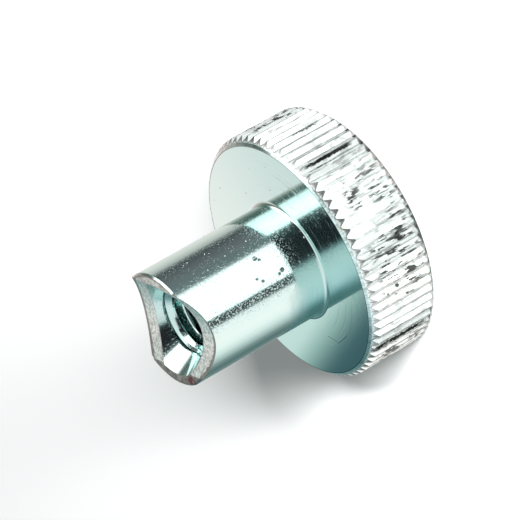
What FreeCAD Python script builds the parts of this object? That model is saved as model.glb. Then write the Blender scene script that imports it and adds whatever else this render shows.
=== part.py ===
import FreeCAD, Part
import os

import Sketcher

# Knurled adjusting nut: a knurled head, a plain round shank and a saddle across the shank's end.
# Millimetres and degrees. The nut stands on its head: the origin is the centre of the head's
# outer face, +Z runs along the thread towards the saddle, and the saddle's groove runs along Y.

NODE = "knurled_nut"

# The tapped hole is modelled at the crests of its thread, M6 with a pitch of 1 mm.
SIZES = {
    "head_diameter": 21.6,
    "head_thickness": 6.5,
    "head_front_chamfer": 0.6,
    "head_back_chamfer": 0.4,
    "knurl_teeth": 74,
    "knurl_depth": 0.33,
    "knurl_root_width": 0.15,
    "knurl_groove_angle": 90.0,
    "knurl_start_angle": 3.73,
    "shank_diameter": 10.0,
    "shank_length": 12.5,
    "shank_root_fillet": 0.3,
    "shank_end_chamfer": 0.15,
    "tapped_bore_diameter": 5.0,
    "back_mouth_diameter": 6.4,
    "back_mouth_angle": 90.0,
    "countersink_diameter": 8.1,
    "countersink_angle": 60.0,
    "saddle_radius": 6.0,
    "saddle_depth": 1.4,
    "saddle_offset": 0.18,
}

# Heights and radii that follow from the sizes, as expressions on the sheet.
HEAD_RADIUS = "sizes.head_diameter / 2"
SHANK_RADIUS = "sizes.shank_diameter / 2"
BORE_RADIUS = "sizes.tapped_bore_diameter / 2"
FACE_HEIGHT = "sizes.head_thickness"
END_HEIGHT = "(sizes.head_thickness + sizes.shank_length)"
SINK_RADIUS = "sizes.countersink_diameter / 2"
SINK_DEPTH = "(%s - %s) / tan(sizes.countersink_angle * 1deg / 2)" % (SINK_RADIUS, BORE_RADIUS)
MOUTH_RADIUS = "sizes.back_mouth_diameter / 2"
MOUTH_DEPTH = "(%s - %s) / tan(sizes.back_mouth_angle * 1deg / 2)" % (MOUTH_RADIUS, BORE_RADIUS)
KNURL_HALF_ROOT = "sizes.knurl_root_width / 2"
KNURL_FLANK_RUN = "2 * sizes.knurl_depth * tan(sizes.knurl_groove_angle * 1deg / 2)"
KNURL_HALF_MOUTH = "(%s + %s)" % (KNURL_HALF_ROOT, KNURL_FLANK_RUN)

doc = FreeCAD.newDocument(NODE)


def make_sheet():
    """The driving dimensions, one alias to a cell."""
    sheet = doc.addObject("Spreadsheet::Sheet", "sizes")
    for row, (alias, value) in enumerate(SIZES.items(), start=1):
        sheet.set("A%d" % row, alias)
        sheet.set("B%d" % row, str(value))
        sheet.setAlias("B%d" % row, alias)
    doc.recompute()
    return sheet


def worked_out(expression):
    """The number that an expression on the sheet gives now."""
    result = sheet.evalExpression(expression)
    return getattr(result, "Value", result)


def origin_feature(role):
    """One of the body's own origin planes or axes."""
    return next(item for item in body.Origin.OriginFeatures if item.Role == role)


def new_sketch(name, plane):
    sketch = body.newObject("Sketcher::SketchObject", name)
    sketch.AttachmentSupport = (origin_feature(plane), "")
    sketch.MapMode = "FlatFace"
    return sketch


def hold(sketch, name, constraint, expression):
    """Add a named dimension to a sketch and bind it to the sheet."""
    index = sketch.addConstraint(constraint)
    sketch.renameConstraint(index, name)
    sketch.setExpression("Constraints." + name, expression)


def hold_point(sketch, name, geometry, vertex, across, up):
    """Fix a sketch point at two distances from the sketch's origin; None keeps it on an axis."""
    if across is None:
        sketch.addConstraint(Sketcher.Constraint("PointOnObject", geometry, vertex, -2))
    else:
        distance = Sketcher.Constraint("DistanceX", -1, 1, geometry, vertex, worked_out(across))
        hold(sketch, name + "_across", distance, across)
    if up is None:
        sketch.addConstraint(Sketcher.Constraint("PointOnObject", geometry, vertex, -1))
    else:
        distance = Sketcher.Constraint("DistanceY", -1, 1, geometry, vertex, worked_out(up))
        hold(sketch, name + "_up", distance, up)


def outline_sketch(name, plane, corners):
    """A closed outline of straight lines; a corner is its name and two expressions, or None for 0."""
    sketch = new_sketch(name, plane)
    places = []
    for corner, across, up in corners:
        places.append(FreeCAD.Vector(worked_out(across or "0"), worked_out(up or "0"), 0))
    count = len(corners)
    for index in range(count):
        sketch.addGeometry(Part.LineSegment(places[index], places[(index + 1) % count]), False)
    for index in range(count):
        sketch.addConstraint(Sketcher.Constraint("Coincident", index, 2, (index + 1) % count, 1))
    for index, (corner, across, up) in enumerate(corners):
        hold_point(sketch, corner, index, 1, across, up)
    return sketch


def circle_sketch(name, plane, radius, across=None, up=None):
    """One circle, centred on the sketch's origin unless it is given a place."""
    sketch = new_sketch(name, plane)
    centre = FreeCAD.Vector(worked_out(across or "0"), worked_out(up or "0"), 0)
    size = worked_out(radius)
    sketch.addGeometry(Part.Circle(centre, FreeCAD.Vector(0, 0, 1), size), False)
    hold_point(sketch, "centre", 0, 3, across, up)
    hold(sketch, "radius", Sketcher.Constraint("Radius", 0, size), radius)
    return sketch


def finish_feature(feature):
    """Recompute, and make the new feature the one that the next feature reads."""
    body.Tip = feature
    doc.recompute()
    return feature


def pad(name, sketch, length):
    feature = body.newObject("PartDesign::Pad", name)
    feature.Profile = sketch
    feature.setExpression("Length", length)
    return finish_feature(feature)


def must_cut(feature, before):
    """A cut that points away from the solid removes nothing and says nothing, so it is measured."""
    if feature.Shape.Volume >= before:
        raise ValueError("%s cut nothing" % feature.Name)


def pocket_up(name, sketch):
    """Cut a sketch on the base plane up through the whole nut."""
    before = body.Shape.Volume
    feature = body.newObject("PartDesign::Pocket", name)
    feature.Profile = sketch
    feature.Type = "ThroughAll"
    feature.Reversed = True
    finish_feature(feature)
    must_cut(feature, before)
    return feature


def pocket_across(name, sketch, length):
    """Cut a sketch on an upright plane to both sides of it."""
    before = body.Shape.Volume
    feature = body.newObject("PartDesign::Pocket", name)
    feature.Profile = sketch
    feature.Midplane = True
    feature.setExpression("Length", length)
    finish_feature(feature)
    must_cut(feature, before)
    return feature


def groove(name, sketch):
    """Turn a sketch about the nut's axis and cut it away."""
    before = body.Shape.Volume
    feature = body.newObject("PartDesign::Groove", name)
    feature.Profile = sketch
    feature.ReferenceAxis = (origin_feature("Z_Axis"), [""])
    feature.Angle = 360
    finish_feature(feature)
    must_cut(feature, before)
    return feature


def round_edge(radius, height):
    """The name of the body's circular edge of this radius at this height."""
    wanted_radius = worked_out(radius)
    wanted_height = worked_out(height)
    for index, edge in enumerate(body.Shape.Edges, start=1):
        if not isinstance(edge.Curve, Part.Circle):
            continue
        off_radius = abs(edge.Curve.Radius - wanted_radius)
        off_height = abs(edge.Curve.Center.z - wanted_height)
        if max(off_radius, off_height) < 1e-4:
            return "Edge%d" % index
    raise ValueError("no round edge of radius %g at height %g" % (wanted_radius, wanted_height))


def dress_edge(kind, name, radius, height, size_property, size):
    """A chamfer or fillet on one round edge."""
    base = body.Tip
    edge = round_edge(radius, height)
    feature = body.newObject("PartDesign::" + kind, name)
    feature.Base = (base, [edge])
    feature.setExpression(size_property, size)
    return finish_feature(feature)


def turn_blank():
    """The turned blank: a disc for the head, and the shank with its root fillet."""
    pad("head", circle_sketch("head_circle", "XY_Plane", HEAD_RADIUS), FACE_HEIGHT)
    pad("shank", circle_sketch("shank_circle", "XY_Plane", SHANK_RADIUS), END_HEIGHT)
    dress_edge("Chamfer", "head_front_edge", HEAD_RADIUS, FACE_HEIGHT, "Size",
               "sizes.head_front_chamfer")
    dress_edge("Chamfer", "head_back_edge", HEAD_RADIUS, "0", "Size", "sizes.head_back_chamfer")
    dress_edge("Fillet", "shank_root", SHANK_RADIUS, FACE_HEIGHT, "Radius",
               "sizes.shank_root_fillet")
    dress_edge("Chamfer", "shank_end_edge", SHANK_RADIUS, END_HEIGHT, "Size",
               "sizes.shank_end_chamfer")


def bore_through():
    """The tapped hole at its crests, its mouth in the outer face and its long countersink."""
    pocket_up("tapped_bore", circle_sketch("bore_circle", "XY_Plane", BORE_RADIUS))
    groove("back_mouth", outline_sketch("back_mouth_section", "XZ_Plane", [
        ("wall", BORE_RADIUS, None),
        ("rim", MOUTH_RADIUS, None),
        ("tip", BORE_RADIUS, MOUTH_DEPTH),
    ]))
    groove("countersink", outline_sketch("countersink_section", "XZ_Plane", [
        ("tip", BORE_RADIUS, "%s - %s" % (END_HEIGHT, SINK_DEPTH)),
        ("rim", SINK_RADIUS, END_HEIGHT),
        ("wall", BORE_RADIUS, END_HEIGHT),
    ]))


def mill_saddle():
    """The round-bottomed groove across the shank's end, which leaves a flat land on each side."""
    centre_height = "%s - sizes.saddle_depth + sizes.saddle_radius" % END_HEIGHT
    circle = circle_sketch("saddle_circle", "XZ_Plane", "sizes.saddle_radius",
                           "sizes.saddle_offset", centre_height)
    pocket_across("saddle", circle, "2 * sizes.shank_diameter")


def roll_knurl():
    """Straight grooves along the head, cut from edge to edge through both chamfers.

    Each groove is a V with a narrow flat root. The section's outer corners lie one depth outside
    the head, so a flank runs twice the depth.
    """
    root = "%s - sizes.knurl_depth" % HEAD_RADIUS
    outside = "%s + sizes.knurl_depth" % HEAD_RADIUS
    section = outline_sketch("knurl_section", "XY_Plane", [
        ("root_left", root, "-(%s)" % KNURL_HALF_ROOT),
        ("mouth_left", outside, "-%s" % KNURL_HALF_MOUTH),
        ("mouth_right", outside, KNURL_HALF_MOUTH),
        ("root_right", root, KNURL_HALF_ROOT),
    ])
    section.AttachmentOffset = FreeCAD.Placement(
        FreeCAD.Vector(), FreeCAD.Rotation(FreeCAD.Vector(0, 0, 1), SIZES["knurl_start_angle"]))
    section.setExpression("AttachmentOffset.Rotation.Angle", "sizes.knurl_start_angle * 1deg")
    doc.recompute()
    first = pocket_up("knurl_groove", section)
    before = body.Shape.Volume
    pattern = body.newObject("PartDesign::PolarPattern", "knurl")
    pattern.Originals = [first]
    pattern.Axis = (origin_feature("Z_Axis"), [""])
    pattern.Angle = 360
    pattern.setExpression("Occurrences", "sizes.knurl_teeth")
    finish_feature(pattern)
    must_cut(pattern, before)


def check_document():
    """Stop if any object failed, or the finished solid isn't one sound solid."""
    for item in doc.Objects:
        if "Invalid" in item.State or "Error" in item.State:
            raise ValueError("%s failed: %s" % (item.Name, item.State))
    shape = body.Shape
    if shape.isNull() or not shape.isValid() or len(shape.Solids) != 1:
        raise ValueError("%s is not one valid solid" % body.Label)


sheet = make_sheet()
body = doc.addObject("PartDesign::Body", "nut_body")
body.Label = NODE
turn_blank()
bore_through()
mill_saddle()
roll_knurl()
doc.recompute()
check_document()

os.makedirs("parts", exist_ok=True)
body.Shape.exportStep("parts/%s.step" % NODE)
print("%s: volume %.2f mm3, box %s" % (body.Label, body.Shape.Volume, body.Shape.BoundBox))
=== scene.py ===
import math
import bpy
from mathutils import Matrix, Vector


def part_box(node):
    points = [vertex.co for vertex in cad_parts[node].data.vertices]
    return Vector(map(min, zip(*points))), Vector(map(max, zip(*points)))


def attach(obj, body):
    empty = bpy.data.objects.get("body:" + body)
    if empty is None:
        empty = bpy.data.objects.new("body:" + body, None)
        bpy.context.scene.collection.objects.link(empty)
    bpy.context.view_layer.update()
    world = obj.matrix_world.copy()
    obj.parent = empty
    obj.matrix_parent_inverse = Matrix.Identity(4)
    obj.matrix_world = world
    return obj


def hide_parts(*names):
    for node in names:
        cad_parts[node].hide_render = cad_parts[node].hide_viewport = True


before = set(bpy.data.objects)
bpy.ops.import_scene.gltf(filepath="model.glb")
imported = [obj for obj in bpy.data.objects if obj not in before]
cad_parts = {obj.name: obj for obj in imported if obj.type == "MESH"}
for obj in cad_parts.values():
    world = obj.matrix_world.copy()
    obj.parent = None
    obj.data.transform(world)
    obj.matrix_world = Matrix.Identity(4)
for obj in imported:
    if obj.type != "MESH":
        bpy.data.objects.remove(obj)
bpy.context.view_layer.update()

from types import SimpleNamespace

import bmesh
import bpy
import numpy as np
from mathutils import Matrix, Vector

# A zinc-plated knurled nut on a pale floor. Lengths in this script are millimetres, and MM turns
# them into the scene's metres. The nut stands on its head, with its axis on +Z.

MM = 0.001
NODE_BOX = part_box("knurled_nut")

# Sizes of the nut, as in the solid that the mesh replaces.
HEAD_RADIUS = NODE_BOX[1][0] / MM
TOTAL_HEIGHT = NODE_BOX[1][2] / MM
HEAD_THICKNESS = 6.5
BACK_CHAMFER = 0.4
TEETH = 74
TOOTH_PITCH = math.tau / TEETH
KNURL_DEPTH = 0.33
KNURL_ROOT = HEAD_RADIUS - KNURL_DEPTH
KNURL_HALF_ROOT = 0.075
KNURL_START = math.radians(3.73)
SHANK_RADIUS = 5.0
ROOT_FILLET = 0.3
END_CHAMFER = 0.15
SADDLE_RADIUS = 6.0
SADDLE_DEPTH = 1.4
SADDLE_OFFSET = 0.18
SINK_RADIUS = 4.05
SINK_SLOPE = math.tan(math.radians(30.0))
MOUTH_RADIUS = 3.2
CREST_RADIUS = 2.5

# The thread, which the solid leaves out: M6 with a pitch of 1 mm, cut outward from its crests. A
# turn's section is a list of places along the pitch and shares of the thread's depth.
THREAD_PITCH = 1.0
THREAD_DEPTH = 0.5
THREAD_TURN = [(0.0, 0.0), (0.14, 0.0), (0.32, 0.5), (0.50, 1.0), (0.64, 1.0), (0.82, 0.5)]

# The head's front edge, as radius and height: a steep break that cuts the knurl's crests, then a
# flatter one up to the face. An extra ring of vertices lies on the flatter one.
FRONT_EDGE = [(HEAD_RADIUS, 5.82), (10.39, 6.34), (10.2, HEAD_THICKNESS)]
FRONT_EDGE_RING = 10.3

# How finely the mesh is divided: radii of the rings on the flat faces, and numbers of rows.
OUTER_FACE_RINGS = (MOUTH_RADIUS, 4.5, 6.5, 8.0, 9.2)
OUTER_FACE_FINE_RING = 9.7
FRONT_FACE_FINE_RING = 9.9
FRONT_FACE_RINGS = (9.4, 8.4, 7.4, 6.4, SHANK_RADIUS + ROOT_FILLET + 0.03)
KNURL_ROWS = 28
FILLET_ROWS = 8
SHANK_ROWS = 18
SHANK_FIRST_ROW = 0.003
LAND_ROWS = 5
SADDLE_ROWS = 9
FLANK_SHARES = (0.0, 0.25, 0.5, 0.75, 1.0)
REDUCTION = 3

# Small limits that keep the end's rings apart, and how often the search for its rim halves.
LEAST_CHAMFER = 0.01
LEAST_COSINE = 0.1
CHORD_GAPS = (0.03, 0.02)
HALVINGS = 40

# Wear of the rolled teeth: how low their crests lie, at some levels of each tooth, and small dents.
# A dent's place and size are drawn from ranges, each as its least value and its spread.
WEAR_SEED = 11
WEAR_LEVELS = 10
WEAR_DEPTH = 0.02
WEAR_FROM = 0.45
WEAR_TO = 5.65
WEAR_FADE = 0.3
DENTS = 80
DENT_HEIGHT = (0.8, 4.9)
DENT_LENGTH = (0.16, 0.4)
DENT_WIDTH = (0.16, 0.22)
DENT_DEPTH = (0.03, 0.06)

# How near to each other vertices merge, and from what angle on an edge is sharp.
MERGE_GAP = 0.0004
SHARP_ANGLE = math.radians(16.0)


def tooth_columns():
    """Angles of the columns round the head: twelve to a tooth, on the corners of its section."""
    root = math.atan(KNURL_HALF_ROOT / KNURL_ROOT)
    diagonal = KNURL_ROOT - KNURL_HALF_ROOT
    mouth = math.acos(diagonal / (HEAD_RADIUS * math.sqrt(2.0))) - math.pi / 4.0
    flank = [root + (mouth - root) * share for share in FLANK_SHARES]
    offsets = [0.0] + flank + [TOOTH_PITCH / 2.0] + [TOOTH_PITCH - offset for offset in flank[::-1]]
    columns = [KNURL_START + tooth * TOOTH_PITCH + offset
               for tooth in range(TEETH) for offset in offsets]
    return np.sort(np.mod(np.array(columns), math.tau))


def saddle_height(x):
    """Height of the saddle's round bottom at a place across it."""
    across = np.clip(np.abs(x - SADDLE_OFFSET), 0.0, SADDLE_RADIUS)
    centre = TOTAL_HEIGHT - SADDLE_DEPTH + SADDLE_RADIUS
    return centre - np.sqrt(SADDLE_RADIUS ** 2 - across ** 2)


def end_height(radius, angle):
    """Height of the shank's end: the lands, the saddle and the small outer chamfer."""
    chamfer = TOTAL_HEIGHT + SHANK_RADIUS - END_CHAMFER - radius
    height = np.minimum(saddle_height(radius * np.cos(angle)), chamfer)
    return np.minimum(height, TOTAL_HEIGHT)


def cone_radius(height):
    """Radius of the countersink's cone at a height."""
    return SINK_RADIUS - (TOTAL_HEIGHT - height) * SINK_SLOPE


def cone_height(radius):
    """Height of the countersink's cone at a radius."""
    return TOTAL_HEIGHT - (SINK_RADIUS - radius) / SINK_SLOPE


def rim_radius(angle):
    """Where the countersink's cone meets the end's surface, found by halving."""
    low = np.full_like(angle, CREST_RADIUS)
    high = np.full_like(angle, SHANK_RADIUS)
    for _ in range(HALVINGS):
        middle = (low + high) / 2
        inside = cone_height(middle) < end_height(middle, angle)
        low = np.where(inside, middle, low)
        high = np.where(inside, high, middle)
    return (low + high) / 2


def knurl_profile(angle):
    """Radius of the knurl at an angle: grooves with a flat root and flanks at 45 degrees."""
    half = TOOTH_PITCH / 2.0
    offset = np.abs((angle - KNURL_START + half) % TOOTH_PITCH - half)
    root = KNURL_ROOT / np.cos(offset)
    flank = (KNURL_ROOT - KNURL_HALF_ROOT) / (np.cos(offset) - np.sin(offset))
    return np.minimum(np.maximum(root, flank), HEAD_RADIUS)


def front_edge_height(radius):
    """Height of the head's front edge at a radius."""
    radii, heights = zip(*FRONT_EDGE[::-1])
    return np.interp(radius, radii, heights)


class KnurlWear:
    """Uneven crests and small dents of the rolled teeth, as a depth at an angle and a height."""

    def __init__(self):
        self.random = np.random.default_rng(WEAR_SEED)
        self.levels = self.random.random((TEETH, WEAR_LEVELS)) ** 2 * WEAR_DEPTH
        angles = self.draw(0.0, math.tau)
        heights = self.draw(*DENT_HEIGHT)
        lengths = self.draw(*DENT_LENGTH)
        widths = self.draw(*DENT_WIDTH)
        depths = self.draw(*DENT_DEPTH)
        self.dents = list(zip(angles, heights, lengths, widths, depths))

    def draw(self, least, spread):
        """One random value for each dent."""
        return least + self.random.random(DENTS) * spread

    def depth_at(self, angle, height):
        tooth = np.floor((angle - KNURL_START) / TOOTH_PITCH).astype(int) % TEETH
        place = np.clip(height / HEAD_THICKNESS, 0.0, 0.999) * (WEAR_LEVELS - 1)
        low = np.floor(place).astype(int)
        share = place - low
        depth = self.levels[tooth, low] * (1.0 - share) + self.levels[tooth, low + 1] * share
        for centre, middle, length, width, deep in self.dents:
            across = (np.mod(angle - centre + math.pi, math.tau) - math.pi) * HEAD_RADIUS
            along = height - middle
            depth = depth + deep * np.exp(-(across / width) ** 2 - (along / length) ** 2)
        start = np.clip((height - WEAR_FROM) / WEAR_FADE, 0.0, 1.0)
        stop = np.clip((WEAR_TO - height) / WEAR_FADE, 0.0, 1.0)
        return depth * (start * stop)


class Shell:
    """Vertices and faces of one mesh, added ring by ring."""

    def __init__(self):
        self.places = []
        self.faces = []
        self.count = 0
        self.last = None

    def ring(self, radius, height, angle):
        """One closed ring of vertices; returns their numbers."""
        radius = np.broadcast_to(radius, angle.shape)
        height = np.broadcast_to(height, angle.shape)
        ring = [radius * np.cos(angle), radius * np.sin(angle), height]
        self.places.append(np.stack(ring, axis=1))
        numbers = list(range(self.count, self.count + len(angle)))
        self.count += len(angle)
        return numbers

    def grow(self, radius, height, angle):
        """Add a ring and join it to the last one."""
        ring = self.ring(radius, height, angle)
        if self.last and len(ring) == len(self.last):
            self.band(ring, self.last)
        elif self.last:
            self.reduce(ring, self.last)
        self.last = ring

    def band(self, lower, upper):
        """Quads between two rings of as many vertices."""
        self.faces.extend(zip(lower, lower[1:] + lower[:1], upper[1:] + upper[:1], upper))

    def reduce(self, lower, upper):
        """Faces between a fine ring and one with a third of its vertices."""
        turned = len(lower) < len(upper)
        fine, coarse = (upper, lower) if turned else (lower, upper)
        for i, near in enumerate(coarse):
            f = [fine[(REDUCTION * i + step) % len(fine)] for step in range(REDUCTION + 1)]
            far = coarse[(i + 1) % len(coarse)]
            faces = [(f[0], f[1], near), (f[1], f[2], far, near), (f[2], f[3], far)]
            self.faces.extend([face[::-1] for face in faces] if turned else faces)


def add_outer_face(shell, coarse, fine):
    """The outer face, from the bore's mouth to the back chamfer."""
    for radius in OUTER_FACE_RINGS:
        shell.grow(radius, 0.0, coarse)
    shell.grow(OUTER_FACE_FINE_RING, 0.0, fine)


def add_knurled_edge(shell, fine):
    """The knurled edge. Each groove runs out on the back chamfer and on the front edge."""
    knurl = knurl_profile(fine)
    wear = KnurlWear()
    crest_share = (knurl - KNURL_ROOT) / (HEAD_RADIUS - KNURL_ROOT)
    back_edge = HEAD_RADIUS - BACK_CHAMFER
    back_height = knurl - back_edge
    front_height = front_edge_height(knurl)
    shell.grow(back_edge, 0.0, fine)
    shell.grow((back_edge + knurl) / 2, back_height / 2, fine)
    for share in np.linspace(0.0, 1.0, KNURL_ROWS):
        height = back_height + (front_height - back_height) * share
        shell.grow(knurl - crest_share * wear.depth_at(fine, height), height, fine)
    break_radius = np.minimum(knurl, FRONT_EDGE[1][0])
    for radius in ((knurl + break_radius) / 2.0, break_radius, FRONT_EDGE_RING, FRONT_EDGE[2][0]):
        shell.grow(radius, front_edge_height(radius), fine)


def add_front_face(shell, coarse, fine):
    """The turned front face, thinned to the shank's number of columns, and the root's fillet."""
    shell.grow(FRONT_FACE_FINE_RING, HEAD_THICKNESS, fine)
    for radius in FRONT_FACE_RINGS:
        shell.grow(radius, HEAD_THICKNESS, coarse)
    for turn in np.linspace(0.0, math.pi / 2, FILLET_ROWS):
        radius = SHANK_RADIUS + ROOT_FILLET * (1.0 - math.sin(turn))
        shell.grow(radius, HEAD_THICKNESS + ROOT_FILLET * (1.0 - math.cos(turn)), coarse)


def add_shank(shell, coarse):
    """The shank, up to where the end's surface cuts it."""
    top = end_height(np.full_like(coarse, SHANK_RADIUS), coarse)
    bottom = HEAD_THICKNESS + ROOT_FILLET
    for share in [SHANK_FIRST_ROW] + list(np.linspace(0.0, 1.0, SHANK_ROWS)[1:]):
        shell.grow(SHANK_RADIUS, bottom + (top - bottom) * share, coarse)


def add_end(shell, coarse):
    """The end: from the shank's edge over the chamfer, the lands and the saddle to the rim."""
    rim = rim_radius(coarse)
    flat = np.minimum(TOTAL_HEIGHT, saddle_height(SHANK_RADIUS * np.cos(coarse)))
    edge = np.minimum(SHANK_RADIUS - LEAST_CHAMFER,
                      SHANK_RADIUS - END_CHAMFER + (TOTAL_HEIGHT - flat))
    reach = math.sqrt(SADDLE_RADIUS ** 2 - (SADDLE_RADIUS - SADDLE_DEPTH) ** 2)
    cosine = np.cos(coarse)
    side = np.where(cosine > 0, SADDLE_OFFSET + reach, SADDLE_OFFSET - reach)
    chord = np.abs(side / np.where(np.abs(cosine) < LEAST_COSINE, LEAST_COSINE, cosine))
    chord = np.clip(chord, rim + CHORD_GAPS[0], edge - CHORD_GAPS[1])
    shell.grow(edge, end_height(edge, coarse), coarse)
    for start, stop, rows in ((edge, chord, LAND_ROWS), (chord, rim, SADDLE_ROWS)):
        for share in np.linspace(0.0, 1.0, rows)[1:]:
            radius = start + (stop - start) * share
            shell.grow(radius, end_height(radius, coarse), coarse)


def add_bore(shell, coarse):
    """The bore. Its rows follow the thread's helix, cut off by the cone and the back mouth."""
    rim_height = cone_height(rim_radius(coarse))
    rings = []
    for turn in range(-1, math.ceil(TOTAL_HEIGHT / THREAD_PITCH) + 1):
        for phase, depth in THREAD_TURN:
            height = THREAD_PITCH * (turn + phase + (coarse - coarse[0]) / math.tau)
            height = np.clip(height, 0.0, rim_height)
            wall = np.maximum(CREST_RADIUS + THREAD_DEPTH * depth, cone_radius(height))
            wall = np.maximum(wall, MOUTH_RADIUS - height)
            rings.append(shell.ring(wall, height, coarse))
    # After the last column, a row goes on as the row that starts one turn higher.
    starts = [ring[0] for ring in rings[len(THREAD_TURN):]]
    starts += [rings[-1][0]] * len(THREAD_TURN)
    rows = [ring + [start] for ring, start in zip(rings, starts)]
    for lower, upper in zip(rows, rows[1:]):
        for j in range(len(coarse)):
            face = (lower[j], upper[j], upper[j + 1], lower[j + 1])
            shell.faces.append(face if face[2] != face[3] else face[:3])


def build_nut():
    """The nut's closed mesh."""
    shell = Shell()
    fine = tooth_columns()
    coarse = fine[::REDUCTION]
    add_outer_face(shell, coarse, fine)
    add_knurled_edge(shell, fine)
    add_front_face(shell, coarse, fine)
    add_shank(shell, coarse)
    add_end(shell, coarse)
    add_bore(shell, coarse)
    mesh = bpy.data.meshes.new("knurled_nut_surface")
    places = np.concatenate(shell.places) * MM
    mesh.from_pydata(places.tolist(), [], shell.faces)
    return mesh


def clean(mesh):
    """Merge the rings that meet, drop empty faces and set which edges are sharp."""
    work = bmesh.new()
    work.from_mesh(mesh)
    bmesh.ops.remove_doubles(work, verts=work.verts, dist=MERGE_GAP * MM)
    bmesh.ops.dissolve_degenerate(work, edges=work.edges, dist=MERGE_GAP * MM)
    bmesh.ops.recalc_face_normals(work, faces=work.faces)
    work.to_mesh(mesh)
    work.free()
    mesh.validate()
    mesh.shade_smooth()
    mesh.set_sharp_from_angle(angle=SHARP_ANGLE)


def add_object(name, data):
    """One object in the scene, from its mesh, light or camera."""
    thing = bpy.data.objects.new(name, data)
    bpy.context.scene.collection.objects.link(thing)
    return thing


nut_mesh = build_nut()
clean(nut_mesh)
nut = add_object("nut_finish", nut_mesh)
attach(nut, "root")
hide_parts("knurled_nut")

# How much of a painted spot's or line's size is solid; the rest is its soft edge.
SOLID_SHARE = 0.4


def rgba(colour):
    return tuple(colour) + (1.0,)


class Nodes:
    """Short calls for building a node tree; values may be numbers or sockets."""

    def __init__(self, tree):
        self.tree = tree
        self.nodes = tree.nodes

    def put(self, socket, value):
        if isinstance(value, bpy.types.NodeSocket):
            self.tree.links.new(value, socket)
        else:
            socket.default_value = value

    def add(self, kind, **settings):
        node = self.nodes.new(kind)
        for name, value in settings.items():
            setattr(node, name, value)
        return node

    def math(self, operation, first, second=0.0, third=0.0, clamp=False):
        node = self.add("ShaderNodeMath", operation=operation, use_clamp=clamp)
        for socket, value in zip(node.inputs, (first, second, third)):
            self.put(socket, value)
        return node.outputs[0]

    def step(self, value, low, high):
        """A smooth step from 0 at low to 1 at high."""
        node = self.add("ShaderNodeMapRange", interpolation_type="SMOOTHSTEP")
        node.inputs["From Min"].default_value = min(low, high)
        node.inputs["From Max"].default_value = max(low, high)
        node.inputs["To Min"].default_value = 0.0 if low < high else 1.0
        node.inputs["To Max"].default_value = 1.0 if low < high else 0.0
        self.put(node.inputs["Value"], value)
        return node.outputs["Result"]

    def window(self, value, low, high, soft):
        """1 between low and high, with soft edges, and 0 elsewhere."""
        rise = self.step(value, low - soft, low + soft)
        fall = self.step(value, high + soft, high - soft)
        return self.both(rise, fall)

    def mix(self, factor, first, second):
        """A mix of two colours, each a socket or three numbers."""
        node = self.add("ShaderNodeMix", data_type="RGBA")
        self.put(node.inputs[0], factor)
        for socket, colour in ((node.inputs[6], first), (node.inputs[7], second)):
            self.put(socket, colour if isinstance(colour, bpy.types.NodeSocket) else rgba(colour))
        return node.outputs[2]

    def blend(self, factor, first, second):
        """A mix of two numbers."""
        node = self.add("ShaderNodeMix", data_type="FLOAT")
        self.put(node.inputs[0], factor)
        self.put(node.inputs[2], first)
        self.put(node.inputs[3], second)
        return node.outputs[0]

    def vector(self, x, y, z):
        node = self.add("ShaderNodeCombineXYZ")
        for socket, value in zip(node.inputs, (x, y, z)):
            self.put(socket, value)
        return node.outputs[0]

    def split(self, vector):
        node = self.add("ShaderNodeSeparateXYZ")
        self.put(node.inputs[0], vector)
        return node.outputs

    def noise(self, vector, scale, detail, rough):
        node = self.add("ShaderNodeTexNoise")
        self.put(node.inputs["Vector"], vector)
        node.inputs["Scale"].default_value = scale
        node.inputs["Detail"].default_value = detail
        node.inputs["Roughness"].default_value = rough
        return node.outputs[0]

    def spot(self, place, centre, size):
        """1 inside a small round spot at a place on the nut, and 0 elsewhere."""
        gap = self.add("ShaderNodeVectorMath", operation="DISTANCE")
        self.put(gap.inputs[0], place)
        gap.inputs[1].default_value = centre
        return self.step(gap.outputs["Value"], size, size * SOLID_SHARE)

    def spots(self, place, marks):
        """1 inside any of several spots, each a centre and a size."""
        return self.most([self.spot(place, centre, size) for centre, size in marks])

    def line(self, x, y, start, stop, width):
        """1 along a straight line in X and Y, and 0 elsewhere."""
        run = (stop[0] - start[0], stop[1] - start[1])
        total = run[0] ** 2 + run[1] ** 2
        offset = -(start[0] * run[0] + start[1] * run[1]) / total
        along = self.math("MULTIPLY_ADD", y, run[1] / total, offset)
        along = self.math("MULTIPLY_ADD", x, run[0] / total, along, clamp=True)
        off_x = self.math("SUBTRACT", x, self.math("MULTIPLY_ADD", along, run[0], start[0]))
        off_y = self.math("SUBTRACT", y, self.math("MULTIPLY_ADD", along, run[1], start[1]))
        return self.step(self.length(off_x, off_y), width, width * SOLID_SHARE)

    def length(self, x, y):
        """Length of a vector in X and Y."""
        return self.math("SQRT", self.math("ADD", self.both(x, x), self.both(y, y)))

    def most(self, values):
        """The largest of several values."""
        result = values[0]
        for value in values[1:]:
            result = self.math("MAXIMUM", result, value)
        return result

    def both(self, *values):
        """The product of several masks or numbers."""
        result = values[0]
        for value in values[1:]:
            result = self.math("MULTIPLY", result, value)
        return result

    def bump(self, height, depth, strength, normal):
        """A normal that a height mask bends, up to a depth in millimetres."""
        node = self.add("ShaderNodeBump")
        self.put(node.inputs["Strength"], strength)
        node.inputs["Distance"].default_value = depth * MM
        self.put(node.inputs["Height"], height)
        if normal is not None:
            self.put(node.inputs["Normal"], normal)
        return node.outputs[0]


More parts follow.
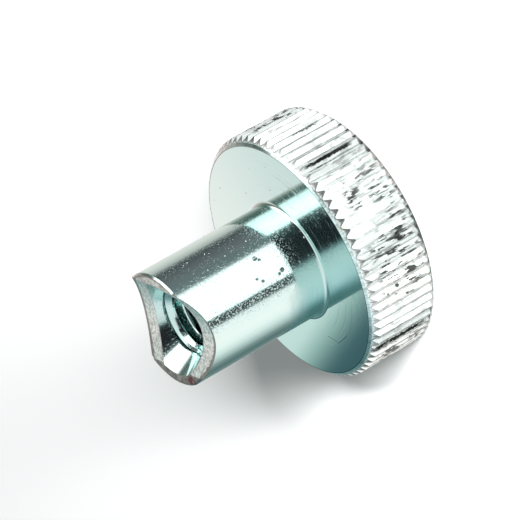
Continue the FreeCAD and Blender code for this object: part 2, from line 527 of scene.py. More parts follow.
# Limits of the surface's zones. Each pair is the place at which a zone's mask is 0, then the place
# at which it is 1; three numbers are a window and the softness of its ends. RADIUS and HEIGHT are
# places on the nut, NORMAL is the Z of the surface's normal, SIDE is the share of X in the radius.
KNURL_RADIUS = (10.30, 10.36)
KNURL_HEIGHT = (6.34, 6.28)
KNURL_FACET = (0.40, 0.62, 0.06)
BACK_RIM_RADIUS = (10.3, 10.4)
BACK_RIM_HEIGHT = (0.5, 0.3)
FOOT_NORMAL = (-0.35, -0.50)
FOOT_RADIUS = (10.25, 10.35)
RING_RADIUS = (10.16, 10.24)
RING_HEIGHT = (6.27, 6.34)
FACE_LINE_RADIUS = (10.13, 10.20, 0.02)
FACE_LINE_HEIGHT = (6.40, 6.48)
FACE_RADIUS = (5.25, 5.35)
FACE_HEIGHT = (6.45, 6.60, 0.03)
WALL_INSIDE = (4.93, 4.98)
WALL_OUTSIDE = (5.4, 5.2)
WALL_HEIGHT = (6.6, 6.7)
BLURRED_HEIGHT = (8.2, 10.4, 0.5)
BLURRED_SIDE = (0.15, -0.10)
END_HEIGHT = (17.0, 17.3)
END_NORMAL = (0.55, 0.64)
CHAMFER_RADIUS = (4.83, 4.86)
CHAMFER_HEIGHT = (18.82, 18.86)
CHAMFER_NORMAL = (0.80, 0.76)
LAND_HEIGHT = (18.90, 18.96)
LOWER_LAND_X = (-3.0, -3.6)
RIM_RADIUS = (4.82, 4.94)
RIM_NORMAL = (0.73, 0.76)
RIM_WAVE = 0.35
INNER_RIM_GAP = (0.12, 0.04)
# BORE_RADIUS and BORE_HEIGHT mark the top of the bore, which gets painted shade.
BORE_RADIUS = (3.35, 3.20)
BORE_HEIGHT = (15.0, 13.2)

# Noises, as scale, detail and roughness.
GRAIN = (4.0, 3.0, 0.60)
EDGE_NOISE = (3.0, 3.0, 0.60)
SPECK_PATCHES = (0.55, 2.0, 0.50)
SPECKS = (7.5, 2.0, 0.55)
SPARKS = (8.0, 1.0, 0.50)
PIT_GRAIN = (7.0, 2.0, 0.60)
DASH_PATCHES = (0.30, 1.0, 0.50)
MILLED_GRAIN = (9.0, 3.0, 0.70)
MOTTLE = (3.4, 4.0, 0.70)
FLECKS = (9.0, 3.0, 0.75)

# Noises drawn out round the axis, as scale across the marks and along them, detail and roughness.
RING_MARKS = (7.0, 0.9, 4.0, 0.75)
WALL_MARKS = (6.0, 3.0, 3.0, 0.60)
BLURRING_MARKS = (13.0, 2.0, 3.0, 0.70)

# Noises drawn out along the teeth, as scale round the knurl and along the teeth, and the same.
KNURL_GRAIN = (70.0, 1.60, 4.0, 0.65)
DASH_NOISE = (38.0, 0.75, 3.0, 0.65)
LINE_NOISE = (44.0, 0.70, 4.0, 0.70)

# Marks on upright walls: compass direction in degrees, height and size.
SHANK_PITS = [(-44.4, 11.35, 0.26), (-47.0, 11.1, 0.16), (-61.2, 12.16, 0.15),
              (-65.4, 11.78, 0.17), (-65.0, 9.85, 0.24), (-67.0, 10.2, 0.16)]
# Painted glints: white spots on the shank where light glints, as compass direction, height and
# size.
SHANK_GLINTS = [(-11.9, 15.98, 0.05), (-12.5, 16.4, 0.035), (-13.0, 14.3, 0.05),
                (-15.0, 14.0, 0.035), (-27.0, 13.2, 0.045), (-31.0, 15.2, 0.04),
                (-24.0, 10.9, 0.05), (-30.0, 8.6, 0.04), (-38.0, 9.1, 0.035), (-22.0, 12.1, 0.03)]
KNURL_SPOTS = [(-94.3, 3.56, 0.3), (-100.0, 2.83, 0.26), (-89.3, 2.49, 0.2), (-44.2, 4.09, 0.3),
               (-40.1, 5.42, 0.14), (-22.2, 3.44, 0.26), (-97.0, 2.9, 0.2)]
KNURL_SPOT_RADIUS = 10.65
RUST_RADIUS = 10.3
RUST = (-59.5, 6.35, 0.35)

# Marks on the flat face and the end: pits as X, Y and size, a scratch with two legs, turned arcs,
# and a spot on the lower land.
FACE_PITS = [(5.29, 3.59, 0.07), (6.56, -0.25, 0.08), (4.75, 7.48, 0.07), (8.7, -0.44, 0.06),
             (7.9, 2.1, 0.045), (3.2, 9.0, 0.05)]
FACE_SCRATCH = [(-6.19, -3.1), (-6.44, -4.49), (-5.33, -5.99)]
SCRATCH_WIDTH = 0.035
FACE_ARCS = [6.5, 7.3, 8.05]
ARC_WIDTH = 0.03
RED_SPOT = ((-4.25, -2.0, 19.0), 0.85)

# Painted dark reflections as stripes along the knurl: compass direction, half width, lowest and
# highest place. Dashes are densest on some sides, each given by its limits, the softness of its
# ends and its share.
KNURL_DARK_REFLECTIONS = [(-28.6, 0.55, 1.2, 5.7), (-30.9, 0.3, 3.0, 5.6), (-117.2, 0.65, 0.9, 6.1),
                 (-124.3, 0.45, 0.9, 6.0), (-9.0, 0.2, 1.5, 4.0), (-36.5, 0.3, 2.2, 4.6),
                 (26.0, 0.7, 1.2, 6.1), (22.0, 0.7, 0.9, 6.1), (18.1, 0.5, 1.4, 6.1),
                 (13.9, 0.4, 1.1, 4.6)]
STRIPE_SOFT = (0.18, 0.4)
STRIPE_WAVE = 1.2
DASH_SIDES = [(-100.0, -42.0, 6.0, 1.0), (-155.0, -127.0, 3.0, 0.9), (10.0, 27.0, 1.5, 1.0)]
DASH_ELSEWHERE = 0.35

# Colours of the plating, of the marks on it, and of painted shade, glints and dark reflections.
# Pairs go from dull to bright.
ZINC = (0.60, 0.80, 0.78)
KNURL_ZINC = (0.61, 0.655, 0.64)
DASH = (0.05, 0.055, 0.05)
CREST_LINE = (0.09, 0.10, 0.095)
# Painted shade along the groove roots.
ROOT_SHADE = (0.12, 0.135, 0.13)
# Painted dark reflections along the knurl.
DARK_REFLECTION = (0.02, 0.024, 0.022)
# Painted shade on the knurl's front facets.
FACET_SHADE = (0.025, 0.03, 0.03)
BACK_RIM = (0.24, 0.25, 0.245)
RUST_TINT = (0.55, 0.42, 0.20)
RING = ((0.42, 0.54, 0.53), (0.72, 0.90, 0.89))
FACE_LINE = (0.10, 0.12, 0.115)
MILLED = ((0.52, 0.62, 0.60), (0.88, 1.0, 0.98))
FLECK = (0.24, 0.26, 0.25)
UPPER_LAND = ((0.42, 0.46, 0.44), (0.76, 0.82, 0.79))
DULL_LAND = ((0.16, 0.165, 0.155), (0.38, 0.385, 0.37))
RIM = (0.22, 0.215, 0.20)
INNER_RIM = (0.28, 0.29, 0.27)
RED_BROWN = (0.16, 0.04, 0.042)
PIT = (0.10, 0.095, 0.09)
# Painted glints: white and not metallic, so the lamps make them bright.
GLINT_WHITE = (0.86, 0.92, 0.92)
FACE_PIT = (0.05, 0.08, 0.08)
ARC = (0.12, 0.22, 0.21)
FOOT = (0.22, 0.23, 0.22)
# Painted shade in the bore.
BORE_SHADE = (0.10, 0.13, 0.13)

# How rough the plating is, and how metallic the knurl is.
MIRROR_ROUGH = 0.07
BLURRED_ROUGH = 0.26
KNURL_ROUGH = 0.18
FACET_ROUGH = 0.22
END_ROUGH = 0.45
PIT_ROUGH = 0.5
KNURL_METALLIC = 0.6


def on_wall(radius, azimuth, height):
    """A place on an upright round wall, by compass direction in degrees and height."""
    turn = math.radians(azimuth)
    return (radius * math.cos(turn), radius * math.sin(turn), height)


def wall_spots(radius, marks):
    """Centres and sizes of marks on an upright round wall."""
    return [(on_wall(radius, azimuth, height), size) for azimuth, height, size in marks]


class Surface:
    """Places on the nut and masks of its zones, as sockets of its material's node tree."""

    def __init__(self, n):
        self.n = n
        coordinates = n.add("ShaderNodeTexCoord")
        scaled = n.add("ShaderNodeVectorMath", operation="SCALE")
        n.put(scaled.inputs[0], coordinates.outputs["Object"])
        scaled.inputs["Scale"].default_value = 1.0 / MM
        self.place = scaled.outputs[0]
        self.x, self.y, self.z = n.split(self.place)
        self.up = n.split(coordinates.outputs["Normal"])[2]
        self.radius = n.length(self.x, self.y)
        self.ray_x = n.math("DIVIDE", self.x, self.radius)
        self.ray_y = n.math("DIVIDE", self.y, self.radius)
        self.turn = n.math("ARCTAN2", self.y, self.x)
        self.azimuth = n.both(self.turn, 180.0 / math.pi)
        self.grain = n.noise(self.place, *GRAIN)
        self.edge_noise = n.noise(self.place, *EDGE_NOISE)
        self.line_noise = self.toothed_noise(*LINE_NOISE)
        self.find_head_zones()
        self.find_shank_zones()

    def turned_noise(self, across, scale, along, detail, rough):
        """Noise drawn out round the axis, which changes fast across the marks."""
        n = self.n
        place = n.vector(n.both(across, scale), n.both(self.ray_x, along),
                         n.both(self.ray_y, along))
        return n.noise(place, 1.0, detail, rough)

    def toothed_noise(self, around, along, detail, rough):
        """Noise drawn out along the teeth."""
        n = self.n
        place = n.vector(n.both(self.ray_x, around), n.both(self.ray_y, around),
                         n.both(self.z, along))
        return n.noise(place, 1.0, detail, rough)

    def find_head_zones(self):
        n, radius, z = self.n, self.radius, self.z
        self.knurled = n.both(n.step(radius, *KNURL_RADIUS), n.step(z, *KNURL_HEIGHT))
        self.facet = n.both(self.knurled, n.window(self.up, *KNURL_FACET))
        self.back_rim = n.both(n.step(radius, *BACK_RIM_RADIUS), n.step(z, *BACK_RIM_HEIGHT))
        self.foot = n.both(n.step(self.up, *FOOT_NORMAL), n.step(radius, *FOOT_RADIUS))
        self.ring = n.both(n.step(radius, *RING_RADIUS), n.step(z, *RING_HEIGHT))
        self.face_line = n.both(n.window(radius, *FACE_LINE_RADIUS), n.step(z, *FACE_LINE_HEIGHT))
        self.face = n.both(n.window(z, *FACE_HEIGHT), n.step(radius, *FACE_RADIUS),
                           n.step(radius, *RING_RADIUS[::-1]))

    def find_shank_zones(self):
        n, radius, z, up = self.n, self.radius, self.z, self.up
        self.wall = n.both(n.step(radius, *WALL_INSIDE), n.step(radius, *WALL_OUTSIDE),
                           n.step(z, *WALL_HEIGHT))
        self.blurred = n.both(self.wall, n.window(z, *BLURRED_HEIGHT),
                              n.step(self.ray_x, *BLURRED_SIDE))
        chamfer = n.both(n.step(radius, *CHAMFER_RADIUS), n.step(z, *CHAMFER_HEIGHT),
                         n.step(up, *CHAMFER_NORMAL))
        upward = n.step(up, *END_NORMAL)
        top = n.both(n.step(z, *END_HEIGHT), upward)
        self.end = n.both(top, n.math("SUBTRACT", 1.0, chamfer))
        self.land = n.both(n.step(z, *LAND_HEIGHT), upward)
        wavy_radius = n.math("MULTIPLY_ADD", self.edge_noise, RIM_WAVE, radius)
        self.rim = n.both(self.end, n.step(up, *RIM_NORMAL), n.step(wavy_radius, *RIM_RADIUS))
        cone = n.math("MULTIPLY_ADD", z, SINK_SLOPE, SINK_RADIUS - TOTAL_HEIGHT * SINK_SLOPE)
        self.inner_rim = n.both(top, n.step(n.math("SUBTRACT", radius, cone), *INNER_RIM_GAP))
        # Where painted shade darkens the bore.
        self.bore_shade = n.both(n.step(radius, *BORE_RADIUS), n.step(z, *BORE_HEIGHT))


# How the marks of the shank and the flat face come from their noises, and where they lie: pairs
# and windows as above. AMOUNT is how much of a noise makes the mark.
PIT_AMOUNT = (0.36, 0.46)
# The sparks are painted glints, scattered on one side of the shank.
SPARK_AMOUNT = (0.73, 0.77)
SPARK_HEIGHT = (12.5, 11.0)
SPARK_SIDE = (0.25, 0.45)
ARC_X = (-5.0, -2.0, 0.6)
ARC_Y = (-3.6, -4.6)


def small_marks(n, s):
    """Masks of the pits, painted glints, scratch and arcs of the shank and the flat face."""
    pits = n.both(n.spots(s.place, wall_spots(SHANK_RADIUS, SHANK_PITS)),
                  n.step(n.noise(s.place, *PIT_GRAIN), *PIT_AMOUNT))
    dots = n.spots(s.place, [((x, y, HEAD_THICKNESS), size) for x, y, size in FACE_PITS])
    # Painted glints: the listed white spots and the scattered sparks.
    glint_sparks = n.both(s.wall, n.step(n.noise(s.place, *SPARKS), *SPARK_AMOUNT),
                    n.step(s.z, *SPARK_HEIGHT), n.step(s.ray_x, *SPARK_SIDE))
    painted_glints = n.most([n.spots(s.place, wall_spots(SHANK_RADIUS, SHANK_GLINTS)), glint_sparks])
    scratch = n.most([n.line(s.x, s.y, start, stop, SCRATCH_WIDTH)
                      for start, stop in zip(FACE_SCRATCH, FACE_SCRATCH[1:])])
    arcs = n.most([n.window(s.radius, size, size + ARC_WIDTH, ARC_WIDTH) for size in FACE_ARCS])
    arcs = n.both(s.face, arcs, n.window(s.x, *ARC_X), n.step(s.y, *ARC_Y))
    return SimpleNamespace(pits=pits, dots=dots, painted_glints=painted_glints, scratch=n.both(scratch, s.face),
                           arcs=arcs)


# The same for the knurl. REACH is a line's distance from a crest, in teeth.
DASH_AMOUNT = (0.53, 0.57)
DASH_PATCH_AMOUNT = (0.34, 0.48)
DASH_HEIGHT = (0.7, 5.0, 0.6)
BLOT_AMOUNT = (0.40, 0.52)
CREST_REACH = (0.11, 0.06)
CREST_AMOUNT = (0.38, 0.56)
ROOT_REACH = (0.41, 0.46)
ROOT_AMOUNT = (0.62, 0.46)
STRIPE_AMOUNT = (0.30, 0.42)
DULL_AMOUNT = (0.35, 0.60)
# The front facets' painted shade is full above DARK_AZIMUTH, LIT_SHARE of it below, and DULL_SHARE
# of it where the line noise is low.
DARK_AZIMUTH = (-96.0, -86.0)
DULL_SHARE = 0.75
LIT_SHARE = 0.55


def knurl_marks(n, s):
    """Masks of the knurl: dashes where the rolls bit unevenly, fine dark lines along the crests,
    painted shade along the groove roots and on the front facets, and painted dark reflections as
    stripes along the teeth.
    """
    noise = s.toothed_noise(*DASH_NOISE)
    side = DASH_ELSEWHERE
    for start, stop, soft, share in DASH_SIDES:
        side = n.blend(n.window(s.azimuth, start, stop, soft), side, share)
    dashes = n.both(n.step(noise, *DASH_AMOUNT), n.window(s.z, *DASH_HEIGHT), s.knurled, side,
                    n.step(n.noise(s.place, *DASH_PATCHES), *DASH_PATCH_AMOUNT))
    blots = n.spots(s.place, wall_spots(KNURL_SPOT_RADIUS, KNURL_SPOTS))
    dashes = n.most([dashes, n.both(blots, n.step(noise, *BLOT_AMOUNT))])

    # Fine dark lines along the crests, and painted shade along the groove roots, by the distance
    # from a crest in teeth.
    tooth = n.math("MULTIPLY_ADD", s.turn, 1.0 / TOOTH_PITCH, TEETH - KNURL_START / TOOTH_PITCH)
    from_crest = n.math("ABSOLUTE", n.math("SUBTRACT", n.math("FRACT", tooth), 0.5))
    crest_line = n.both(s.knurled, n.step(from_crest, *CREST_REACH),
                        n.step(s.line_noise, *CREST_AMOUNT))
    # Painted shade along the groove roots.
    root_shade = n.both(s.knurled, n.step(from_crest, *ROOT_REACH),
                       n.step(s.line_noise, *ROOT_AMOUNT))

    wavy = n.math("MULTIPLY_ADD", n.math("SUBTRACT", s.grain, 0.5), STRIPE_WAVE, s.azimuth)
    # Painted dark reflections: stripes at listed compass directions.
    dark_reflections = n.most([n.both(n.window(wavy, azimuth - half, azimuth + half, STRIPE_SOFT[0]),
                             n.window(s.z, low, high, STRIPE_SOFT[1]))
                      for azimuth, half, low, high in KNURL_DARK_REFLECTIONS])
    dark_reflections = n.both(dark_reflections, s.knurled, n.step(s.line_noise, *STRIPE_AMOUNT))
    # Painted shade on the front facets, lighter on one side of the knurl.
    facet_shade = n.both(s.facet, n.blend(n.step(s.line_noise, *DULL_AMOUNT), DULL_SHARE, 1.0),
                    n.blend(n.step(wavy, *DARK_AZIMUTH), LIT_SHARE, 1.0))
    return SimpleNamespace(dashes=dashes, crest_line=crest_line, root_shade=root_shade,
                           dark_reflections=dark_reflections, facet_shade=facet_shade)


# The same for the relief. A slanted side is found by X and a share of Y. The last four are shares
# of the relief: off the marked side, between patches, on the smooth side and on the dark stripe.
DEEP_MARKS = (0.57, 0.72)
MARKED_SLANT = 0.25
MARKED_X = (-4.5, -1.0)
MARKED_Y = (2.8, 0.6)
SPECK_AMOUNT = (0.54, 0.74)
SPECK_PATCH_AMOUNT = (0.35, 0.65)
ROUGH_SLANT = 0.6
ROUGH_X = (-4.2, -3.2)
SHANK_STRIPE_SIDE = (0.10, 0.36, 0.07)
SHANK_STRIPE_FRONT = (0.0, -0.2)
CONE_HEIGHT = (15.0, 16.0)
CONE_RADIUS = (4.9, 4.7)
UNMARKED_SHARE = 0.07
BETWEEN_PATCHES = 0.55
SMOOTH_SHARE = 0.12
SHANK_STRIPE_SHARE = 1.5


def nut_normal(n, s, marks):
    """The surface's normal, bent by turning marks, specks, grain and pits, layer by layer."""
    ring_marks = s.turned_noise(s.radius, *RING_MARKS)
    marked = n.both(n.step(n.math("MULTIPLY_ADD", s.y, MARKED_SLANT, s.x), *MARKED_X),
                    n.step(s.y, *MARKED_Y))
    face_share = n.both(s.face, n.blend(marked, UNMARKED_SHARE, 1.0))

    # Specks: dense in patches and on the dark stripe, and few on the shank's smooth side.
    specks = n.step(n.noise(s.place, *SPECKS), *SPECK_AMOUNT)
    patches = n.step(n.noise(s.place, *SPECK_PATCHES), *SPECK_PATCH_AMOUNT)
    rough_side = n.step(n.math("MULTIPLY_ADD", s.y, ROUGH_SLANT, s.x), *ROUGH_X)
    dark_stripe = n.both(n.window(s.ray_x, *SHANK_STRIPE_SIDE),
                         n.step(s.ray_y, *SHANK_STRIPE_FRONT))
    cone = n.both(n.step(s.z, *CONE_HEIGHT), n.step(s.radius, *CONE_RADIUS))
    speck_share = n.both(n.blend(patches, BETWEEN_PATCHES, 1.0),
                         n.blend(rough_side, SMOOTH_SHARE, 1.0),
                         n.blend(dark_stripe, 1.0, SHANK_STRIPE_SHARE), n.most([s.wall, cone]))

    # Each layer is a height mask, its depth in millimetres and its strength.
    layers = [(ring_marks, 0.001, n.both(face_share, 0.5)),
              (n.step(ring_marks, *DEEP_MARKS), 0.008, n.both(face_share, 0.7)),
              (s.turned_noise(s.z, *WALL_MARKS), 0.003, n.both(s.wall, 0.6)),
              (specks, 0.006, speck_share),
              (s.turned_noise(s.z, *BLURRING_MARKS), 0.006, s.blurred),
              (s.grain, 0.0009, 0.5),
              (n.most([marks.pits, marks.dots]), 0.02, 1.0),
              (s.toothed_noise(*KNURL_GRAIN), 0.008, n.both(s.knurled, 0.5)),
              (n.noise(s.place, *MILLED_GRAIN), 0.02, n.both(s.end, 0.6))]
    normal = None
    for height, depth, strength in layers:
        normal = n.bump(height, depth, strength, normal)
    return normal


# The same for the colours of the milled end.
MOTTLE_AMOUNT = (0.38, 0.58)
LAND_MOTTLE_AMOUNT = (0.40, 0.60)
FLECK_AMOUNT = (0.55, 0.62)
RED_AMOUNT = (0.36, 0.46)
FLECK_SHARE = 0.7


def nut_colour(n, s, marks, knurl):
    """Bluish zinc, paler on the knurl, grey and mottled on the milled end, with its marks, and
    painted shade, glints and dark reflections.
    """
    ring = n.mix(n.step(s.line_noise, *DULL_AMOUNT), *RING)
    rust = n.spots(s.place, wall_spots(RUST_RADIUS, [RUST]))
    mottle = n.noise(s.place, *MOTTLE)
    flecks = n.step(n.noise(s.place, *FLECKS), *FLECK_AMOUNT)
    milled = n.mix(n.step(mottle, *MOTTLE_AMOUNT), *MILLED)
    milled = n.mix(n.both(flecks, FLECK_SHARE), milled, FLECK)
    land_mottle = n.step(mottle, *LAND_MOTTLE_AMOUNT)
    lands = n.mix(n.step(s.x, *LOWER_LAND_X), n.mix(land_mottle, *UPPER_LAND),
                  n.mix(land_mottle, *DULL_LAND))
    red_spot = n.both(n.spot(s.place, *RED_SPOT), n.step(s.edge_noise, *RED_AMOUNT))

    # Each layer is a mask, how much of the layer covers what is under it, and its colour.
    layers = [(s.knurled, 1.0, KNURL_ZINC),
              (knurl.dashes, 0.88, DASH),
              (knurl.crest_line, 0.62, CREST_LINE),
              (knurl.root_shade, 0.52, ROOT_SHADE),
              (knurl.dark_reflections, 0.93, DARK_REFLECTION),
              (knurl.facet_shade, 1.0, FACET_SHADE),
              (s.back_rim, 0.6, BACK_RIM),
              (rust, 0.6, RUST_TINT),
              (s.ring, 1.0, ring),
              (s.face_line, 0.8, FACE_LINE),
              (s.end, 1.0, milled),
              (s.land, 1.0, lands),
              (s.rim, 0.85, RIM),
              (s.inner_rim, 0.55, INNER_RIM),
              (red_spot, 0.9, RED_BROWN),
              (marks.pits, 0.85, PIT),
              (marks.painted_glints, 1.0, GLINT_WHITE),
              (n.most([marks.dots, marks.scratch]), 0.75, FACE_PIT),
              (marks.arcs, 0.45, ARC),
              (s.foot, 0.75, FOOT),
              (s.bore_shade, 0.6, BORE_SHADE)]
    colour = ZINC
    for mask, share, layer in layers:
        colour = n.mix(n.both(mask, share), colour, layer)
    return colour


def zinc_material():
    """Bright zinc plating: a bluish mirror where it is turned, pale and grained on the knurl."""
    material = bpy.data.materials.new("zinc_plating")
    material.use_nodes = True
    n = Nodes(material.node_tree)
    s = Surface(n)
    marks = small_marks(n, s)
    knurl = knurl_marks(n, s)
    dark_knurl = n.most([knurl.dark_reflections, knurl.dashes, s.facet, s.back_rim])
    metallic = 1.0
    for mask, value in ((s.knurled, KNURL_METALLIC), (dark_knurl, 1.0), (marks.painted_glints, 0.0)):
        metallic = n.blend(mask, metallic, value)
    rough = MIRROR_ROUGH
    for mask, value in ((s.blurred, BLURRED_ROUGH), (s.knurled, KNURL_ROUGH),
                        (s.facet, FACET_ROUGH), (s.end, END_ROUGH),
                        (n.most([marks.pits, knurl.dashes]), PIT_ROUGH)):
        rough = n.blend(mask, rough, value)
    shader = n.nodes["Principled BSDF"]
    n.put(shader.inputs["Base Color"], nut_colour(n, s, marks, knurl))
    n.put(shader.inputs["Metallic"], metallic)
    n.put(shader.inputs["Roughness"], rough)
    n.put(shader.inputs["Normal"], nut_normal(n, s, marks))
    return material


nut_mesh.materials.append(zinc_material())

# The pale floor under the nut.
FLOOR_HALF = 2.0
FLOOR_PAINT = (0.94, 0.94, 0.94)


def rectangle(name, wide, high):
    """A flat mesh about its own origin, from its half sizes in metres."""
    mesh = bpy.data.meshes.new(name)
    mesh.from_pydata([(-wide, -high, 0), (wide, -high, 0), (wide, high, 0), (-wide, high, 0)], [],
                     [(0, 1, 2, 3)])
    return mesh


def paint_floor(mesh):
    material = bpy.data.materials.new("floor_paint")
    material.use_nodes = True
    shader = material.node_tree.nodes["Principled BSDF"]
    shader.inputs["Base Color"].default_value = rgba(FLOOR_PAINT)
    shader.inputs["Roughness"].default_value = 1.0
    shader.inputs["Specular IOR Level"].default_value = 0.0
    mesh.materials.append(material)


floor_mesh = rectangle("floor", FLOOR_HALF, FLOOR_HALF)
paint_floor(floor_mesh)
floor = add_object("floor", floor_mesh)
floor.visible_glossy = False

# The studio that the bright metal mirrors, as a compass direction and the light's colour there.
# The lower ring is what the upright walls mirror, the upper ring what the flat face and everything
# seen twice mirrors. Between two stops the light changes evenly.
LOWER_RING = [
    (-180, 0.39, 0.43, 0.42), (-170, 0.65, 0.68, 0.66), (-160, 0.97, 0.94, 0.92),
    (-146, 1.28, 1.17, 1.13), (-134, 1.38, 1.20, 1.165), (-110, 1.34, 1.19, 1.17),
    (-104, 1.20, 1.10, 1.09), (-100.5, 0.24, 0.25, 0.25), (-96, 0.10, 0.105, 0.105),
    (-86, 0.11, 0.115, 0.115), (-83, 1.8, 1.8, 1.8), (-21.5, 1.8, 1.8, 1.8),
    (-18, 1.25, 1.15, 1.15), (-14, 0.36, 0.37, 0.37), (-9, 0.20, 0.23, 0.235),
    (10, 0.20, 0.20, 0.21), (30, 0.15, 0.145, 0.15), (42, 0.10, 0.10, 0.105),
    (48, 0.17, 0.165, 0.16), (54, 0.35, 0.33, 0.32), (58, 0.63, 0.57, 0.55),
    (70, 0.82, 0.74, 0.70), (82, 0.95, 0.85, 0.80), (117, 0.88, 0.87, 0.85),
    (121.5, 0.32, 0.42, 0.40), (132, 0.27, 0.37, 0.355), (146, 0.197, 0.25, 0.24),
    (164, 0.14, 0.215, 0.21), (180, 0.34, 0.38, 0.37)]
UPPER_RING = [
    (-180, 0.19, 0.29, 0.30), (-168, 0.39, 0.51, 0.54), (-158, 0.70, 0.77, 0.80),
    (-146, 0.95, 0.95, 0.98), (-124, 1.02, 1.00, 1.00), (-100, 0.94, 0.90, 0.905),
    (-90, 0.82, 0.82, 0.81), (-84, 0.58, 0.62, 0.62), (-79, 0.22, 0.26, 0.27),
    (-74, 0.055, 0.065, 0.07), (-66, 0.027, 0.026, 0.029), (-28, 0.026, 0.026, 0.029),
    (-12, 0.052, 0.062, 0.065), (-6, 0.13, 0.14, 0.14), (-2.5, 0.50, 0.45, 0.45),
    (2, 2.2, 1.9, 1.9), (7, 2.6, 2.6, 2.6), (26, 2.6, 2.6, 2.6), (44, 2.05, 2.0, 1.95),
    (52, 1.65, 1.40, 1.38), (57, 0.28, 0.31, 0.30), (64, 0.13, 0.16, 0.145),
    (76, 0.24, 0.24, 0.22), (90, 0.69, 0.57, 0.52), (102, 1.09, 0.82, 0.80),
    (112, 1.20, 0.95, 0.92), (118.6, 1.16, 1.02, 1.02), (121.3, 0.40, 0.52, 0.48),
    (126, 0.31, 0.46, 0.43), (140, 0.20, 0.31, 0.31), (158, 0.12, 0.225, 0.225),
    (180, 0.19, 0.29, 0.30)]
UPPER_RING_FROM = (-0.33, -0.12)
SKY_FROM = (0.75, 0.95)
WHITE = (1.0, 1.0, 1.0)
FLOOR_LIGHT = (0.245, 0.27, 0.265)


def light_ramp(n, value, span, offset, stops):
    """Light along a value, from stops that each name a value and the light's colour there."""
    node = n.add("ShaderNodeValToRGB")
    n.put(node.inputs[0], value)
    elements = node.color_ramp.elements
    while len(elements) < len(stops):
        elements.new(0.5)
    for element, (place, *colour) in zip(elements, stops):
        element.position = place / span + offset
        element.color = rgba(colour)
    return node.outputs[0]


def studio_world():
    """The studio round the nut; the floor is lit by its own even light."""
    world = bpy.data.worlds.new("studio")
    world.use_nodes = True
    n = Nodes(world.node_tree)
    x, y, z = n.split(n.add("ShaderNodeTexCoord").outputs["Generated"])
    turn = n.math("MULTIPLY_ADD", n.math("ARCTAN2", y, x), 1.0 / math.tau, 0.5)
    lower = light_ramp(n, turn, 360.0, 0.5, LOWER_RING)
    upper = light_ramp(n, turn, 360.0, 0.5, UPPER_RING)
    mirrored = n.mix(n.step(z, *UPPER_RING_FROM), lower, upper)
    mirrored = n.mix(n.step(z, *SKY_FROM), mirrored, WHITE)
    path = n.add("ShaderNodeLightPath")
    colour = n.mix(path.outputs["Is Glossy Ray"], FLOOR_LIGHT, mirrored)
    colour = n.mix(path.outputs["Is Camera Ray"], colour, WHITE)
    background = n.nodes["Background"]
    n.put(background.inputs["Color"], colour)
    background.inputs["Strength"].default_value = 1.0
    return world


bpy.context.scene.world = studio_world()

# A reflector card beyond the nut, which the flat face mirrors: pale to one side, and falling from
# pale to dark across the other. Its places are millimetres from its middle, to the side and up.
CARD_TURN = math.radians(119.8)
CARD_TILT = math.radians(26.8)
CARD_DISTANCE = 80.0
CARD_HALF = (26.0, 20.0)
CARD_SPAN = 16.0
CARD_SLANT = 0.45
CARD_STOPS = [(0.5, 0.92, 0.97, 0.94), (6.4, 0.84, 0.90, 0.86), (7.4, 0.62, 0.73, 0.69),
              (8.4, 0.42, 0.55, 0.51), (9.4, 0.265, 0.37, 0.36), (10.4, 0.125, 0.21, 0.22),
              (11.4, 0.07, 0.14, 0.16), (14.0, 0.065, 0.13, 0.15)]
CARD_LOW_GLOW = (1.30, 1.07, 1.05)
CARD_HIGH_GLOW = (0.91, 0.88, 0.86)
CARD_HIGH_FROM = (-6.0, 6.0)
CARD_DARK_FROM = (-6.0, 5.0)


def card_light():
    material = bpy.data.materials.new("card_light")
    material.use_nodes = True
    n = Nodes(material.node_tree)
    n.nodes.remove(n.nodes["Principled BSDF"])
    place = n.split(n.add("ShaderNodeTexCoord").outputs["Object"])
    across = n.both(place[0], 1.0 / MM)
    up = n.both(place[1], 1.0 / MM)
    fall = n.both(n.math("MULTIPLY_ADD", up, CARD_SLANT, across), 1.0 / CARD_SPAN)
    dark_side = light_ramp(n, fall, CARD_SPAN, 0.0, CARD_STOPS)
    glow = n.mix(n.step(up, *CARD_HIGH_FROM), CARD_LOW_GLOW, CARD_HIGH_GLOW)
    light = n.add("ShaderNodeEmission")
    n.put(light.inputs["Color"], n.mix(n.step(across, *CARD_DARK_FROM), glow, dark_side))
    light.inputs["Strength"].default_value = 1.0
    n.put(n.nodes["Material Output"].inputs["Surface"], light.outputs[0])
    return material


def turned(side, rise, line):
    """The rotation that puts an object's X, Y and Z along three directions."""
    return Matrix([side, rise, line]).transposed().to_4x4()


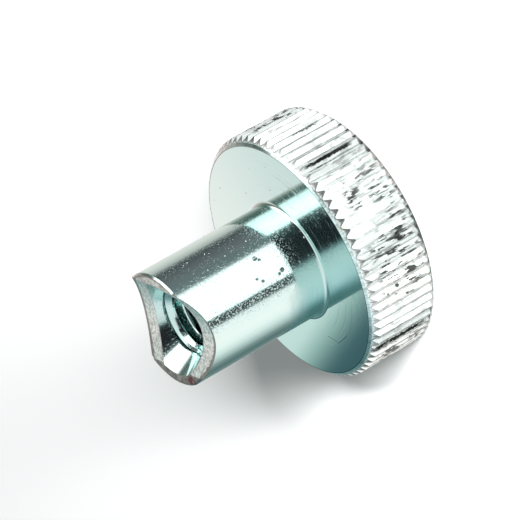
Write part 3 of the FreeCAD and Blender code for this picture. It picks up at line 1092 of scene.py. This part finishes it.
def add_card():
    line = Vector((math.cos(CARD_TILT) * math.cos(CARD_TURN),
                   math.cos(CARD_TILT) * math.sin(CARD_TURN), math.sin(CARD_TILT)))
    side = Vector((0.0, 0.0, 1.0)).cross(line).normalized()
    rise = line.cross(side)
    centre = Vector((0.0, 0.0, HEAD_THICKNESS)) + line * CARD_DISTANCE
    mesh = rectangle("card", CARD_HALF[0] * MM, CARD_HALF[1] * MM)
    mesh.materials.append(card_light())
    card = add_object("card", mesh)
    card.matrix_world = Matrix.Translation(centre * MM) @ turned(side, rise, side.cross(rise))
    card.visible_camera = False
    card.visible_diffuse = False
    card.visible_shadow = False


add_card()

# The camera: the photograph's view, turned about its own line of sight.
CAMERA_PLACE = Vector((143.058, -249.513, 151.294))
CAMERA_RIGHT = Vector((-0.237946, -0.579772, -0.779260))
CAMERA_UP = Vector((0.864590, 0.239141, -0.441923))
CAMERA_FORWARD = Vector((-0.442568, 0.778894, -0.444362))
FOCAL_PIXELS = 4000.0
IMAGE_PIXELS = 520.0
SENSOR = 36.0
CLIP_START = 0.01


def add_camera():
    data = bpy.data.cameras.new("camera")
    data.sensor_fit = "HORIZONTAL"
    data.sensor_width = SENSOR
    data.lens = FOCAL_PIXELS * SENSOR / IMAGE_PIXELS
    data.clip_start = CLIP_START
    camera = add_object("camera", data)
    turn = turned(CAMERA_RIGHT, CAMERA_UP, -CAMERA_FORWARD)
    camera.matrix_world = Matrix.Translation(CAMERA_PLACE * MM) @ turn
    return camera


# The key light: a soft strip a little above the camera, as wide as the picture is. It throws the
# shadow close under the nut. The metal mirrors the studio's panels instead of this lamp. Its
# distance and size are metres.
KEY_RISE = math.radians(8.0)
KEY_TURN = math.radians(-2.0)
KEY_DISTANCE = 0.6
KEY_WIDTH = 0.36
KEY_HEIGHT = 0.05
KEY_POWER = 10.3


def add_key():
    line = CAMERA_UP * math.tan(KEY_RISE) + CAMERA_RIGHT * math.tan(KEY_TURN) - CAMERA_FORWARD
    line.normalize()
    side = (CAMERA_RIGHT - line * line.dot(CAMERA_RIGHT)).normalized()
    data = bpy.data.lights.new("key", "AREA")
    data.shape = "RECTANGLE"
    data.size = KEY_WIDTH
    data.size_y = KEY_HEIGHT
    data.energy = KEY_POWER
    key = add_object("key", data)
    turn = turned(side, line.cross(side), line)
    key.matrix_world = Matrix.Translation(line * KEY_DISTANCE) @ turn
    key.visible_glossy = False


bpy.context.scene.camera = add_camera()
add_key()
bpy.context.scene.view_settings.view_transform = "Standard"
